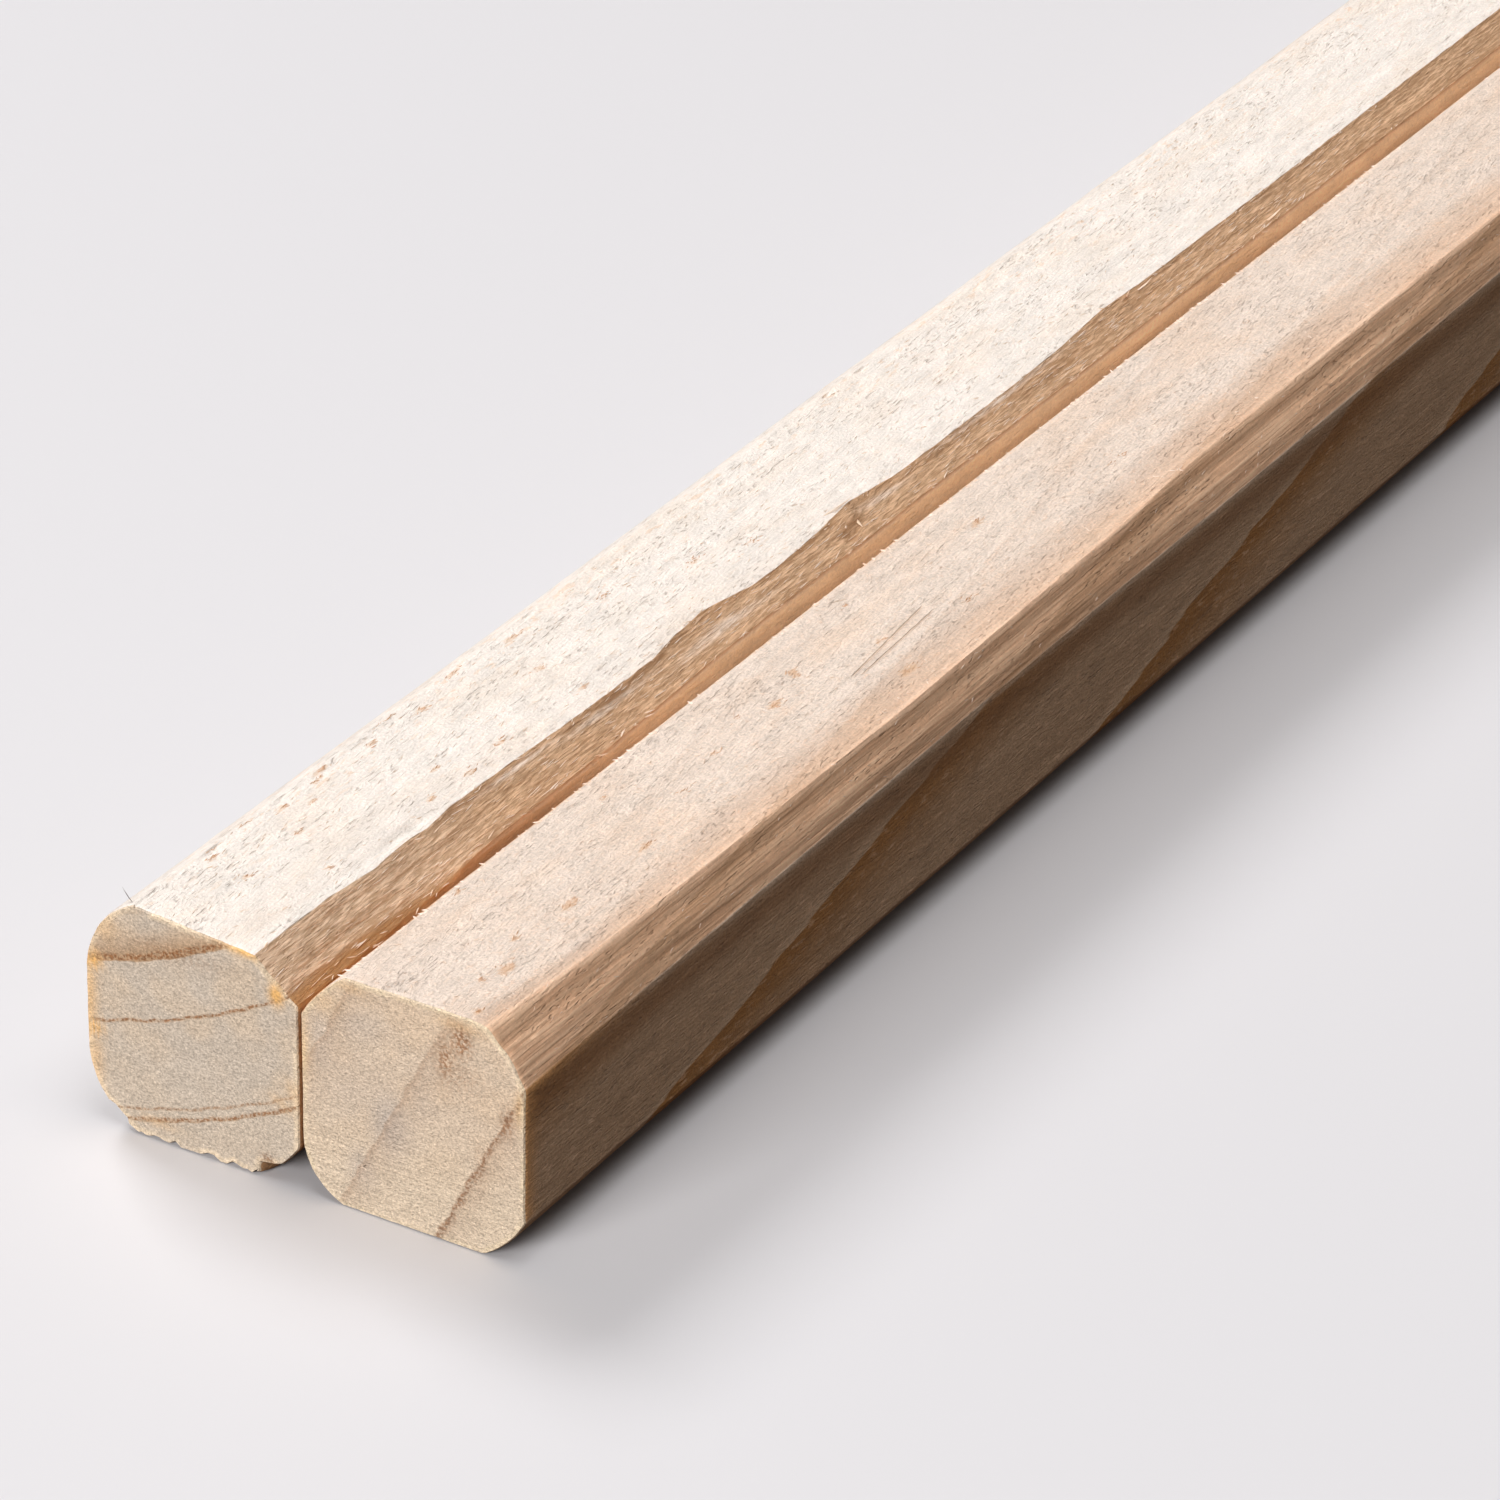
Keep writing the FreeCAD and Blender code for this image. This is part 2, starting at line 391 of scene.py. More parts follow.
def markEnd(piece, low, spots):
    # stores each point's distance from the thick end's rim, in millimetres, and roughens that end
    points = piece.data.vertices
    rim = [v.co.copy() for v, spot in zip(points, spots) if spot[2] == 0]
    tree = kdtree.KDTree(len(rim))
    for index, place in enumerate(rim):
        tree.insert(place, index)
    tree.balance()
    distances = []
    for vertex in points:
        fromEnd = (vertex.co.y - low.y) / mm
        if fromEnd < 1e-4:
            fromEnd = tree.find(vertex.co)[2] / mm
        distances.append(min(fromEnd, 2.0))
    storeOnPoints(piece, "rimDistance", distances)
    for vertex in points[len(spots):]:
        if vertex.co.y < low.y + 0.1 * mm:
            x, y, z = vertex.co / mm
            dent = ripple(x, 0, z, 0.4, 1, 51.2) + 0.5 * ripple(x, 0, z, 0.15, 1, 53.9)
            vertex.co.y += 0.03 * mm * max(dent + 0.3, 0)


def storeOnPoints(piece, name, values):
    piece.data.attributes.new(name, "FLOAT", "POINT").data.foreach_set("value", values)


def cutMarks(stick, stretch, t, distance, x):
    # where the wood is torn, pale or flecked, and where shade and glow are painted: in the groove, in
    # hollows and on the shaded outer side
    marks = dict.fromkeys(("torn", "groove", "hollow", "pale", "shaded", "fleck"), 0.0)
    # painted warm shade in the groove
    if stretch in (innerFlank, innerLowCut):
        marks["groove"] = 1.0
    if stretch == topFace:
        marks["fleck"] = max(spotAt(x, distance, *mark) for mark in stick["flecks"])
    if stick["side"] < 0 and stretch == innerTopCut:
        reach = 0.30 * (1 - ramp(distance, 3, 8))
        marks["torn"] = 1.0
        # painted shade: warm groove shade reaches up the cut near the thick end
        marks["groove"] = ramp(reach - t, 0, 0.10)
        # painted shade under the ridge, along the foot of the cut and under the torn flap
        marks["hollow"] = 0.22 * ramp(distance, 4.5, 7.5) * hump(t, 0.92, 0.07)
        marks["hollow"] += spotAt(t, distance, 0.32, 23.5, 0.16, 0.30) + 0.35 * max(1 - t / 0.25, 0)
        marks["pale"] = max(spotAt(t, distance, *mark) for mark in stick["pale"])
    if stick["side"] > 0:
        if stretch == innerTopCut:
            # painted warm shade in the groove
            marks["groove"] = ramp(0.75 - t, 0, 0.20)
        if stretch == topFace:
            # painted shade: the top turns darker and warmer where it rolls over the outer edge
            rollStart = 0.86 - 0.20 * ramp(distance, 4, 10)
            rolled = max((t - rollStart) / (1 - rollStart), 0)
            marks["torn"] = 0.75 * rolled ** 1.3
            marks["hollow"] = 0.28 * math.sin(math.pi * rolled)
        if stretch == outerTopCut:
            near = max(1 - distance / 6, 0)
            marks["torn"] = min(0.75 + t * 2, 1.0)
            # painted shade along the hollow under the rounded edge, and low on the cut near the thick end
            marks["hollow"] = (0.36 + 0.26 * near) * hump(t, 0.22 + 0.07 * near, 0.15)
            marks["hollow"] += 0.34 * near * hump(t, 0.97, 0.12)
        # painted shade: the outer side and underside take the shaded colours
        if stretch in (outerFlank, outerLowCut, underside):
            marks["shaded"] = 1.0
        if stretch == outerFlank:
            # painted shade just below the sharp top edge of the side
            marks["hollow"] = 0.95 * hump(t, 0.15, 0.12)
            marks["pale"] = 0.40 * hump(t, 0, 0.04) * ramp(distance, 0, 3)
            # painted glow: orange along the thick end's edge and along the top of the side near it
            marks["groove"] = max(hump(distance, 0, 0.36), max(1 - distance / 5, 0) * hump(t, 0, 0.06))
    return marks


def endMarks(stick, x, z):
    return {
        stain: max(strength * spotAt(x, z, *spot) for *spot, strength in stick[stain])
        for stain in ("orangeStain", "brownStain", "greyStain")
    }


def markCuts(piece, stick, spots):
    listed = []
    for index, vertex in enumerate(piece.data.vertices):
        stretch, t, distance = spots[index] if index < len(spots) else (None, 0, 0)
        x, z = vertex.co.x / mm, vertex.co.z / mm
        marks = cutMarks(stick, stretch, t, distance, x)
        marks.update(endMarks(stick, x, z))
        listed.append(marks)
    for name in listed[0]:
        storeOnPoints(piece, name, [marks[name] for marks in listed])


# Shader maths: a socket that can be added, multiplied and so on
class Wire:
    def __init__(self, bench, socket):
        self.bench = bench
        self.socket = socket

    def do(self, operation, other=None, flip=False):
        pair = (other, self) if flip else (self, other)
        values = {i: v for i, v in enumerate(pair) if v is not None}
        return self.bench.node("Math", {"operation": operation}, values)

    def __add__(self, other):
        return self.do("ADD", other)

    __radd__ = __add__

    def __sub__(self, other):
        return self.do("SUBTRACT", other)

    def __rsub__(self, other):
        return self.do("SUBTRACT", other, flip=True)

    def __mul__(self, other):
        return self.do("MULTIPLY", other)

    __rmul__ = __mul__

    def __truediv__(self, other):
        return self.do("DIVIDE", other)

    def __rtruediv__(self, other):
        return self.do("DIVIDE", other, flip=True)

    def __pow__(self, other):
        return self.do("POWER", other)

    def __abs__(self):
        return self.do("ABSOLUTE")


class Bench:
    # the nodes of one material or world
    def __init__(self, owner):
        self.owner = owner
        owner.use_nodes = True
        self.tree = owner.node_tree
        self.tree.nodes.clear()

    def node(self, kind, settings=None, values=None, output=0):
        made = self.tree.nodes.new("ShaderNode" + kind)
        for key, value in (settings or {}).items():
            if key == "stops":
                self.setStops(made.color_ramp.elements, value)
            else:
                setattr(made, key, value)
        for key, value in (values or {}).items():
            if isinstance(value, Wire):
                self.tree.links.new(value.socket, made.inputs[key])
            else:
                made.inputs[key].default_value = value
        return Wire(self, made.outputs[output]) if made.outputs else None

    def setStops(self, elements, stops):
        while len(elements) < len(stops):
            elements.new(1.0)
        for element, (place, tone) in zip(elements, stops):
            element.position = place
            element.color = (tone, tone, tone, 1)

    def parts(self, vector):
        split = self.node("SeparateXYZ", {}, {0: vector})
        return [Wire(self, split.socket.node.outputs[i]) for i in range(3)]

    def grain(self, place, across, along, up=None, detail=2.0, roughness=0.5):
        # noise with grains of that size in millimetres across, along and up the stick
        scale = (1 / mm / across, 1 / mm / along, 1 / mm / (up or across))
        stretched = self.node("Mapping", {}, {"Vector": place, "Scale": scale})
        return self.node("TexNoise", {}, {
            "Vector": stretched, "Scale": 1.0, "Detail": detail, "Roughness": roughness,
        })

    def named(self, place, name):
        # one of the noises listed in woodGrains
        across, along, detail, roughness = woodGrains[name]
        return self.grain(place, across, along, detail=detail, roughness=roughness)

    def stored(self, name):
        return self.node("Attribute", {"attribute_name": name}, output="Fac")

    def between(self, value, low, high):
        # 0 below low, 1 above high
        smooth = {"interpolation_type": "SMOOTHSTEP"}
        return self.node("MapRange", smooth, {"Value": value, 1: low, 2: high})

    def blend(self, share, first, second, mode="MIX"):
        settings = {"data_type": "RGBA", "blend_type": mode, "clamp_factor": True}
        return self.node("Mix", settings, {0: share, 6: first, 7: second}, output=2)

    def scaled(self, colour, value):
        return self.node("VectorMath", {"operation": "SCALE"}, {0: colour, "Scale": value})


# Noises that both sticks share: size across and size along in millimetres, detail, roughness
woodGrains = {
    "fuzz": (0.075, 0.120, 3.0, 0.75),
    "hairs": (0.045, 0.420, 2.0, 0.50),
    "streaks": (0.150, 5.000, 3.0, 0.50),
    "mottle": (0.900, 3.500, 3.0, 0.50),
    "groups": (0.450, 2.400, 2.0, 0.50),    # where pores lie close together
    "dashes": (0.055, 0.300, 1.0, 0.50),
    "peach": (0.110, 0.450, 2.0, 0.50),
    "speck": (0.065, 0.065, 2.0, 0.75),
    "glints": (0.055, 0.055, 0.0, 0.50),
    "clouds": (0.300, 0.900, 3.0, 0.50),
    "fleckEdge": (0.060, 0.140, 2.0, 0.50),
    "dots": (0.085, 1.500, 1.0, 0.50),      # breaks the ring lines on the ends
    "endPatches": (1.100, 3.500, 1.0, 0.50),
}
# How much each of them lightens the wood, and how much it raises the surface; the glints are painted glints
faceTone = {"base": 0.745, "streaks": 0.13, "hairs": 0.10, "clouds": 0.34, "glints": 0.15}
endTone = {"base": 0.985, "sawn": 4.0, "glints": 0.30}
raised = {"fuzz": 0.35, "speck": 0.30, "hairs": 0.30, "streaks": 0.25, "dashes": 0.35, "scratch": 0.50}

leftLook = {
    "name": "paleWood",
    "early": (0.965, 0.885, 0.815, 1),
    "late": (0.500, 0.240, 0.100, 1),
    "warm": (0.960, 0.800, 0.660, 1),       # broad warmer patches
    "dash": (0.600, 0.470, 0.380, 1),       # short grey pores that lie along the grain
    "peach": (0.900, 0.640, 0.450, 1),      # short warm dashes
    "fleck": (0.870, 0.660, 0.500, 1),
    # torn wood: its own rougher colour, painted darker and warmer as its shade
    "tornLight": (0.910, 0.655, 0.460, 1),
    "tornDark": (0.530, 0.340, 0.205, 1),
    "tornFar": (0.840, 0.755, 0.665, 1),    # how much darker the torn wood is further on
    "pale": (0.960, 0.800, 0.680, 1),
    "grooveNear": (0.440, 0.215, 0.078, 1), # painted warm shade of the groove, at the thick end and further on
    "grooveFar": (0.930, 0.740, 0.520, 1),
    # painted shade of hollows and creases
    "hollow": (0.480, 0.260, 0.130, 1),
    "shaded": (0.900, 0.800, 0.700, 1),
    "shadedLate": (0.700, 0.450, 0.250, 1),
    "shadedLight": (0.940, 0.840, 0.740, 1),
    "ringOnTorn": 0.12,                     # how much the rings show on torn wood
    "end": (0.650, 0.548, 0.448, 1),
    "endWarm": (0.700, 0.565, 0.435, 1),
    "endLow": (0.690, 0.575, 0.460, 1),     # the colour of the end near the table
    "endTan": (0.520, 0.330, 0.190, 1),
    "endLate": (0.340, 0.160, 0.070, 1),
    "orangeStain": (0.930, 0.540, 0.200, 1),
    "brownStain": (0.300, 0.140, 0.060, 1),
    "greyStain": (0.660, 0.580, 0.500, 1),
    "rim": (0.920, 0.740, 0.540, 1),
    "grainDepth": 0.55,                     # contrast of the fine grain on the long faces
    "dashShare": 0.38,
    "peachShare": 0.50,
    "peachEdge": (-2.6, -4.1),              # more of those dashes towards this edge
    "warmShare": 0.34,
    "speckDepth": 1.45,                     # and of the pores on the end
    "splinterSize": (0.050, 0.50),          # across and along, in millimetres
    "splinterBump": 0.30,
    "smoothCut": 0.0,                       # how much of the short hairs is planed off the cut
    "relief": 0.072,                        # depth of the finest relief, in millimetres
    "ringOnTop": 0.06,
    "ringOnSide": 0.35,
    "sawMarks": 0.0,
    "rimWidth": 0.17,                       # light shines through the end's rim, in millimetres
    "heart": (-8.85, 17.6),                 # x and z of the heart the rings turn about, in millimetres
    "lean": -0.030,                         # how the heart sinks per millimetre along the stick
    # each ring: radius, how far before and after it the wood is tan and how tan, line width, how dark
    "rings": [
        (7.3, 0.7, 0.06, 0.5, 0.10, 0.5), (9.3, 0.8, 0.06, 0.5, 0.10, 0.5),
        (11.4, 0.8, 0.06, 0.5, 0.10, 0.5), (13.0, 0.6, 0.05, 0.08, 0.05, 0.1),
        (14.08, 0.85, 0.04, 0.90, 0.15, 1.0), (15.51, 0.12, 0.05, 0.4, 0.06, 0.9),
        (17.60, 0.10, 0.04, 0.3, 0.05, 0.6), (17.87, 0.16, 0.04, 0.5, 0.08, 0.9),
        (20.2, 0.6, 0.06, 0.5, 0.10, 0.5),
    ],
    "scratches": [],
}
rightLook = {
    "name": "warmWood",
    "early": (0.890, 0.745, 0.640, 1),
    "late": (0.500, 0.270, 0.130, 1),
    "warm": (0.890, 0.660, 0.500, 1),
    "dash": (0.640, 0.480, 0.390, 1),
    "peach": (0.880, 0.600, 0.420, 1),
    "fleck": (0.800, 0.520, 0.330, 1),
    # torn wood: its own rougher colour, painted darker and warmer as its shade
    "tornLight": (1.000, 0.660, 0.435, 1),
    "tornDark": (0.880, 0.530, 0.330, 1),
    "tornFar": (1.000, 1.000, 1.000, 1),
    "pale": (0.950, 0.800, 0.680, 1),
    # painted warm shade of the groove
    "grooveNear": (0.760, 0.400, 0.170, 1),
    "grooveFar": (0.840, 0.540, 0.330, 1),
    # painted shade of hollows and creases
    "hollow": (0.300, 0.150, 0.070, 1),
    "shaded": (0.540, 0.360, 0.235, 1),     # painted shade: the outer side, turned away from the lamps, is darker and browner
    "shadedLate": (0.400, 0.190, 0.065, 1),
    "shadedLight": (0.760, 0.560, 0.400, 1),
    "ringOnTorn": 0.40,
    "end": (0.805, 0.640, 0.490, 1),
    "endWarm": (0.815, 0.630, 0.465, 1),
    "endLow": (0.860, 0.700, 0.530, 1),
    "endTan": (0.590, 0.420, 0.300, 1),
    "endLate": (0.380, 0.210, 0.120, 1),
    "orangeStain": (0.900, 0.600, 0.320, 1),
    "brownStain": (0.460, 0.260, 0.150, 1),
    "greyStain": (0.660, 0.555, 0.470, 1),
    "rim": (0.940, 0.760, 0.540, 1),
    "grainDepth": 1.15,
    "dashShare": 0.14,
    "peachShare": 0.36,
    "peachEdge": (2.0, 4.5),
    "warmShare": 0.42,
    "speckDepth": 1.30,
    "splinterSize": (0.080, 2.40),
    "splinterBump": 0.10,
    "smoothCut": 0.75,
    "relief": 0.100,
    "ringOnTop": 0.14,
    "ringOnSide": 0.90,
    "sawMarks": 0.11,
    "rimWidth": 0.16,
    "slope": (1.95, 0.25, -1.0),            # how the ring number rises with x, y and z
    "firstRing": 2.93,                      # where one ring lies and how far apart they are, in millimetres
    "ringStep": 2.16,
    "softRing": 0.77,                       # this one is a broad soft band
    "scratches": [                          # x and distance of both ends, half width
        ((3.43, 16.71), (3.08, 20.72), 0.025), ((3.57, 16.91), (3.39, 20.63), 0.022),
        ((1.17, 19.49), (1.52, 20.12), 0.030),
    ],
}


def paleRings(bench, look, x, y, z, place):
    # rings about a heart that lies up and to the left of the stick: the tan wood and the dark lines
    wander = (bench.grain(place, 5.0, 60.0, detail=1.0) - 0.5) * 0.9 * bench.between(y, 0.0, 6.0)
    wander = wander + (bench.grain(place, 0.45, 14.0) - 0.5) * 0.14
    across = x - look["heart"][0]
    down = z - (y * look["lean"] + look["heart"][1])
    radius = (across * across + down * down) ** 0.5 + wander
    tan, line = 0.0, 0.0
    for ring, before, after, tanShare, width, dark in look["rings"]:
        rise = bench.between(radius, ring - before, ring) * (1 - bench.between(radius, ring, ring + after))
        tan = rise * tanShare + tan
        line = (1 - bench.between(abs(radius - ring + width / 2), width * 0.25, width * 0.85)) * dark + line
    return tan, line, tan, 0.0


def warmRings(bench, look, x, y, z, place):
    # nearly flat rings that cross the stick aslant, sharp on one side and fading on the other
    wander = (bench.grain(place, 4.0, 40.0, detail=1.0) - 0.5) * 0.8 * bench.between(y, 0.0, 6.0)
    wander = wander + (bench.grain(place, 0.45, 10.0) - 0.5) * 0.26
    byX, byY, byZ = look["slope"]
    across = (x * byX + y * byY + z * byZ) / math.hypot(byX, byZ) + wander
    part = ((across - look["firstRing"]) / look["ringStep"] + 20).do("FRACT")
    fadeStops = [(0.0, 0.70), (0.06, 0.40), (0.20, 0.18), (0.42, 0.0), (0.975, 0.0), (1.0, 0.70)]
    lineStops = [(0.0, 0.95), (0.035, 0.60), (0.07, 0.0), (0.97, 0.0), (0.99, 0.80), (1.0, 0.95)]
    bandStops = [(0.0, 1.0), (0.08, 0.90), (0.20, 0.50), (0.42, 0.0), (0.990, 0.0), (1.0, 1.0)]
    ridgeStops = [(0.0, 0.0), (0.92, 0.0), (0.965, 0.7), (0.985, 1.0), (1.0, 0.0)]
    tan, line, band, ridge = (
        bench.parts(bench.node("ValToRGB", {"stops": stops}, {0: part}))[0]
        for stops in (fadeStops, lineStops, bandStops, ridgeStops)
    )
    crispHere = bench.between(across - look["softRing"], 0.6, 1.2)
    return tan * (0.80 + 0.20 * crispHere), line * (0.16 + 0.84 * crispHere), band, ridge


def scratchLine(bench, x, y, start, end, halfWidth):
    # 1 along a straight scratch of the top face, 0 beside it
    (startX, startY), (endX, endY) = start, end
    lean = (endX - startX) / (endY - startY)
    off = abs(x - (startX - startY * lean) - y * lean)
    inside = bench.between(y, startY, startY + 0.3) * (1 - bench.between(y, endY - 0.3, endY))
    return (1 - bench.between(off, halfWidth * 0.5, halfWidth * 1.5)) * inside


def finishWood(look, rings):
    # colour and fine relief that both sticks share, over their own rings
    material = bpy.data.materials.new(look["name"])
    bench = Bench(material)
    place = bench.node("TexCoord", output="Object")
    x, rowY, z = (part / mm for part in bench.parts(place))
    y = rowY + stickRun["middle"]
    endFace = y.do("LESS_THAN", 0.05)
    side = 1 - endFace

    fuzz, hairs, streaks, mottle, speck, clouds = (
        bench.named(place, name) for name in ("fuzz", "hairs", "streaks", "mottle", "speck", "clouds")
    )
    groups = bench.between(bench.named(place, "groups"), 0.42, 0.62)
    dashes = bench.between(bench.named(place, "dashes"), 0.58, 0.72) * groups * side
    peach = bench.between(bench.named(place, "peach"), 0.56, 0.68)
    peach = peach * (0.35 + 0.65 * bench.between(x, *look["peachEdge"])) * (1 - groups * 0.6)
    # painted glints: tiny specks lightened as if they caught the light
    glints = bench.between(bench.named(place, "glints"), 0.68, 0.80)
    shaded, torn, orange = (bench.stored(name) for name in ("shaded", "torn", "orangeStain"))

    # ring lines are broken into dots on the end and fainter on the long faces
    tan, line, band, ridge = rings(bench, look, x, y, z, place)
    dots = bench.between(bench.named(place, "dots"), 0.40, 0.60)
    onTop = bench.between(z, *stickRun["topStarts"])
    ringShare = look["ringOnSide"] + onTop * (look["ringOnTop"] - look["ringOnSide"])

    # the long faces
    faces = bench.blend(bench.between(mottle, 0.42, 0.72) * look["warmShare"], look["early"], look["warm"])
    # painted shade: the right stick's outer side takes shaded copies of its colours
    faces = bench.blend(shaded, faces, look["shaded"])
    late = bench.blend(shaded, look["late"], look["shadedLate"])
    faces = bench.blend((tan + line * 0.35) ** 0.7 * ringShare * (1 - shaded) + band * shaded, faces, late)
    faces = bench.blend(shaded * ridge * 0.4, faces, look["shadedLight"])
    faces = bench.blend(peach * look["peachShare"], faces, look["peach"])
    faces = bench.blend(dashes * look["dashShare"], faces, look["dash"])

    # torn wood and pale streaks of the cuts, painted shade in hollows, and painted warm shade in the groove
    splinters = bench.grain(place, *look["splinterSize"], detail=3.0, roughness=0.6)
    splinters = bench.between(splinters + 0.35 * (streaks - 0.5), 0.32, 0.68)
    tornWood = bench.blend(splinters, look["tornDark"], look["tornLight"])
    tornFar = bench.blend(1.0, tornWood, look["tornFar"], "MULTIPLY")
    tornWood = bench.blend(bench.between(y, 4.5, 9.0), tornWood, tornFar)
    # torn wood's colour, partly painted warm shade
    faces = bench.blend(torn, faces, tornWood)
    faces = bench.blend(torn * band * look["ringOnTorn"], faces, late)
    # painted shade in hollows, creases and under the torn flap
    faces = bench.blend(bench.stored("hollow") * 0.75, faces, look["hollow"])
    faces = bench.blend(bench.stored("pale") * (0.3 + 0.7 * splinters), faces, look["pale"])
    # painted warm shade in the groove, and a painted glow on the side near the thick end
    groove = bench.blend(bench.between(y, 2.0, 18.0), look["grooveNear"], look["grooveFar"])
    groove = bench.scaled(groove, 0.75 + 0.25 * streaks + 0.25 * fuzz)
    faces = bench.blend(bench.stored("groove") * 0.92, faces, groove)

    # fine grain over all of it, then flecks and scratches
    grained = look["grainDepth"] * (1 - 0.45 * torn) * (0.6 * fuzz + 0.5 * speck - 0.55)
    tone = faceTone["base"] + faceTone["streaks"] * streaks + grained + faceTone["hairs"] * hairs
    tone = tone + faceTone["clouds"] * clouds + faceTone["glints"] * glints
    faces = bench.scaled(faces, tone)
    spotted = bench.stored("fleck") * (0.10 + 1.8 * bench.named(place, "fleckEdge"))
    faces = bench.blend(bench.between(spotted, 0.30, 0.75) * 0.75, faces, look["fleck"])
    scratched = 0.0
    for scratch in look["scratches"]:
        scratched = scratchLine(bench, x, y, *scratch) * onTop + scratched
    faces = bench.blend(scratched * 0.45, faces, look["peach"])

    # the sawn end is greyer, with fine pores, stains, painted shade in a small hole and a rim painted
    # lighter where light shines through it
    patches = bench.between(bench.named(place, "endPatches"), 0.40, 0.62)
    ends = bench.blend(patches, look["end"], look["endWarm"])
    ends = bench.blend(bench.between(z, 3.2, 0.8) * 0.8, ends, look["endLow"])
    ends = bench.blend(bench.stored("greyStain"), ends, look["greyStain"])
    ends = bench.blend(tan, ends, look["endTan"])
    # painted glow: the rim is lighter where light shines through it
    rimShare = 1 - bench.between(bench.stored("rimDistance"), look["rimWidth"] * 0.2, look["rimWidth"])
    ends = bench.blend(rimShare * bench.between(mottle, 0.30, 0.60), ends, look["rim"])
    ends = bench.blend(orange * (0.6 + 0.8 * fuzz), ends, look["orangeStain"])
    # brown stains, and painted shade in the small hole
    ends = bench.blend(bench.stored("brownStain") * (0.3 + 1.2 * dots), ends, look["brownStain"])
    ends = bench.blend(line * (0.12 + 0.88 * dots) * (1 - 0.8 * orange), ends, look["endLate"])
    sawn = bench.grain(place, 1.6, 1.0, 0.055, detail=1.0) - 0.5
    sawn = sawn * bench.between(z, 3.0, 1.6) * look["sawMarks"]
    tone = endTone["base"] - look["speckDepth"] / 2 + look["speckDepth"] * speck
    ends = bench.scaled(ends, tone + endTone["sawn"] * sawn + endTone["glints"] * glints)
    colour = bench.blend(endFace, faces, ends)

    height = (raised["fuzz"] * fuzz + raised["speck"] * speck) * (1 - 0.8 * torn)
    height = height + raised["streaks"] * streaks - raised["dashes"] * dashes
    height = height + raised["hairs"] * hairs * (1 - look["smoothCut"] * torn)
    height = height + look["splinterBump"] * torn * splinters + (0.25 * speck + 2 * sawn) * endFace
    height = height - raised["scratch"] * scratched
    bump = bench.node("Bump", {}, {"Strength": 1.0, "Distance": look["relief"] * mm, "Height": height})
    shader = bench.node("BsdfPrincipled", {}, {
        "Base Color": colour, "Roughness": 0.60 + 0.2 * fuzz, "Normal": bump,
        "Specular IOR Level": 0.30,
    })
    bench.node("OutputMaterial", {}, {"Surface": shader})
    return material


leftPiece = turnStick(leftStick)
rightPiece = turnStick(rightStick)
leftPiece.data.materials.append(finishWood(leftLook, paleRings))
rightPiece.data.materials.append(finishWood(rightLook, warmRings))
print("wood finished")

# Loose fibres: where each bed of them grows, how many, and how they lie.
# Angles are in degrees: swing from the stick's own direction, lift from the surface.
fibreBeds = {
    "left": [
        {"on": innerTopCut, "t": (0.04, 0.96), "count": 950, "length": (0.14, 0.50),
         "thick": (0.006, 0.011), "swing": (-8, 8), "lift": (0, 5)},
        {"on": innerTopCut, "t": (0.00, 0.12), "count": 130, "length": (0.10, 0.35),
         "thick": (0.008, 0.014), "swing": (-22, 22), "lift": (2, 14)},
        {"on": innerTopCut, "t": (0.92, 1.00), "count": 110, "length": (0.10, 0.30),
         "thick": (0.008, 0.014), "swing": (-25, 25), "lift": (2, 16)},
        {"on": topFace, "t": (0.02, 0.98), "count": 800, "length": (0.07, 0.24),
         "thick": (0.006, 0.012), "swing": (-20, 20), "lift": (2, 10)},
    ],
    "right": [
        {"on": innerTopCut, "t": (0.80, 1.00), "count": 520, "length": (0.06, 0.17),
         "thick": (0.012, 0.026), "swing": (50, 130), "lift": (5, 45)},
        {"on": topFace, "t": (0.02, 0.98), "count": 1900, "length": (0.05, 0.17),
         "thick": (0.006, 0.012), "swing": (-80, 80), "lift": (3, 20)},
        {"on": outerTopCut, "t": (0.00, 0.98), "count": 300, "length": (0.05, 0.20),
         "thick": (0.005, 0.009), "swing": (-30, 30), "lift": (1, 9)},
    ],
}
fibreReach = {"near": 50.0, "nearShare": 0.78, "far": 112.0}    # most of them grow in the first stretch
# A fleck's fibres: how many at least and by area, how widely they spread, swing in radians, lift as a slope
fleckTuft = {"least": 9, "perArea": 160, "spread": 0.55, "swing": (-0.5, 0.5), "lift": (0.02, 0.20),
             "length": (0.05, 0.17), "thick": (0.007, 0.014), "bend": (-0.05, 0.05)}


def modelFibre():
    # a three-sided sliver one unit long, thickest a third of the way along
    selectNothing()
    bpy.ops.mesh.primitive_circle_add(
        vertices=3, radius=0.7, fill_type="NGON", rotation=(math.pi / 2, 0, 0),
    )
    fibre = bpy.context.object
    fibre.name = "fibre"
    bpy.ops.object.transform_apply(location=True, rotation=True, scale=True)
    bpy.ops.object.mode_set(mode="EDIT")
    bpy.ops.mesh.select_all(action="SELECT")
    for step, grow in ((0.30, 1.40), (0.35, 0.75), (0.35, 0.12)):
        bpy.ops.mesh.extrude_region_move(TRANSFORM_OT_translate={"value": (0, step, 0)})
        bpy.ops.transform.resize(value=(grow, 1, grow), center_override=(0, 0, 0))
    bpy.ops.mesh.select_all(action="SELECT")
    bpy.ops.mesh.normals_make_consistent(inside=False)
    bpy.ops.object.mode_set(mode="OBJECT")
    return fibre


def copyFibre(fibre, root, direction, up, length, width, thick, bend=0.0):
    # lays a copy of the sliver from its root along a direction; lengths are in metres
    across = direction.cross(up).normalized()
    up = across.cross(direction).normalized()
    copied = bpy.data.objects.new("fibreCopy", fibre.data.copy())
    for vertex in copied.data.vertices:
        x, y, z = vertex.co
        rise = z * thick + bend * y * y * length
        vertex.co = root + direction * (y * length) + across * (x * width) + up * rise
    bpy.context.scene.collection.objects.link(copied)
    return copied


